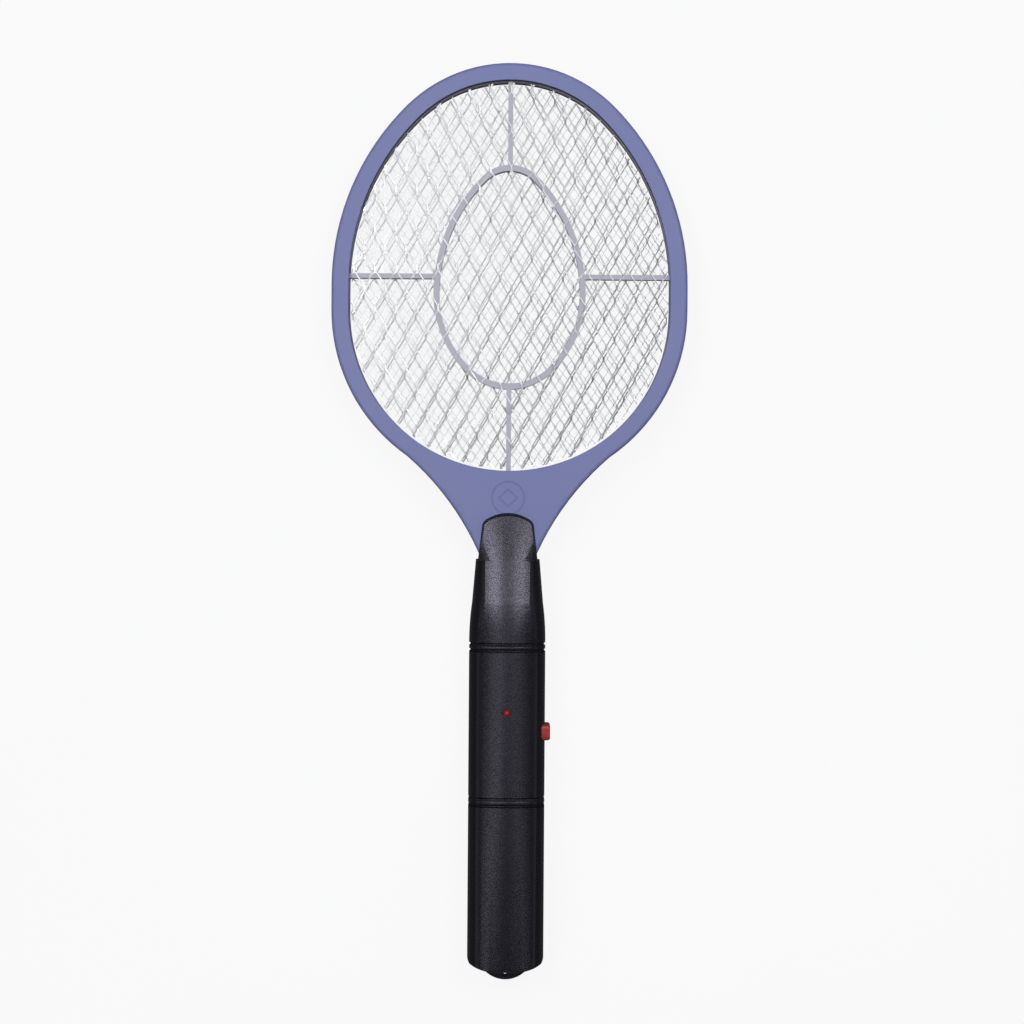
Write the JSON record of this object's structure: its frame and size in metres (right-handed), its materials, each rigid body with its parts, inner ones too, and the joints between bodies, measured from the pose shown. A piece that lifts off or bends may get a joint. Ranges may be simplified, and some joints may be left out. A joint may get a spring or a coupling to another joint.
{
  "type": "electric fly swatter",
  "caption": "Hand-held electric fly swatter: an oval three-layer wire-net head on a tapered battery handle with a side push button, an indicator lamp and a hanging lug.",
  "frame": {"origin": "under the middle of the whole object, on the plane that the flat back of the handle rests on", "axes": "+X to the right seen from the front, the side the push button is on; +Y along the handle towards the tip of the head; +Z out of the front, towards the viewer"},
  "size_m": [0.1774, 0.4568, 0.0328],
  "materials": {
    "shell_black": "satin black ABS with a soft sheen",
    "frame_lilac": "fine-grained moulded blue-lilac ABS",
    "spacer_grey": "smooth pale lavender-grey plastic",
    "net_aluminium": "bright expanded metal",
    "button_red": "glossy moulded red",
    "lamp_red": "clear red resin",
    "switch_black": "matt moulded",
    "plunger_white": "smooth",
    "board_green": "solder-masked glass fibre",
    "core_ferrite": "sintered ferrite",
    "winding_tape": "polyester tape",
    "capacitor_red": "dipped epoxy",
    "component_black": "moulded epoxy",
    "resistor_beige": "lacquered",
    "cell_jacket": "plain printed film on steel",
    "contact_steel": "nickel-plated",
    "terminal_brass": "stamped",
    "wire_red": "PVC insulation",
    "wire_grey": "PVC insulation",
    "screw_steel": "zinc-plated"
  },
  "bodies": {
    "root": {"handle_front_shell": "shell_black", "handle_rear_shell": "shell_black", "head_frame_front": "frame_lilac", "head_frame_rear": "frame_lilac", "grid_front": "net_aluminium", "grid_middle": "net_aluminium", "grid_rear": "net_aluminium", "spacer_front": "spacer_grey", "spacer_rear": "spacer_grey", "button_spring": "contact_steel", "switch_body": "switch_black", "lamp_lens": "lamp_red", "lamp_leads": "contact_steel", "circuit_board": "board_green", "transformer_core": "core_ferrite", "transformer_winding": "winding_tape", "high_voltage_capacitor": "capacitor_red", "rectifier_diodes": "component_black", "resistors": "resistor_beige", "transistor": "component_black", "battery_left": "cell_jacket", "battery_right": "cell_jacket", "bridge_contact": "contact_steel", "positive_contact": "contact_steel", "negative_contact": "contact_steel", "grid_terminal_middle": "terminal_brass", "grid_terminal_outer": "terminal_brass", "high_voltage_wire": "wire_red", "ground_wire": "wire_grey", "battery_wires": "wire_red", "handle_screws": "screw_steel", "board_screws": "screw_steel"},
    "button": {"push_button": "button_red"},
    "plunger": {"switch_plunger": "plunger_white"},
    "door": {"battery_door": "shell_black"}
  },
  "joints": [
    {"name": "button_press", "type": "slide", "parent": "root", "child": "button", "axis": [-1, 0, 0], "range_m": [0, 0.0014], "stiffness_N_per_m": 800, "springref_m": -0.0006, "deforming": ["button_spring"]},
    {"name": "plunger_press", "type": "slide", "parent": "root", "child": "plunger", "axis": [-1, 0, 0], "range_m": [0, 0.0014]},
    {"name": "door_slide", "type": "slide", "parent": "root", "child": "door", "axis": [0, -1, 0], "range_m": [0, 0.08]}
  ],
  "couplings": [
    {"joint": "plunger_press", "follows": "button_press", "ratio": 1}
  ]
}
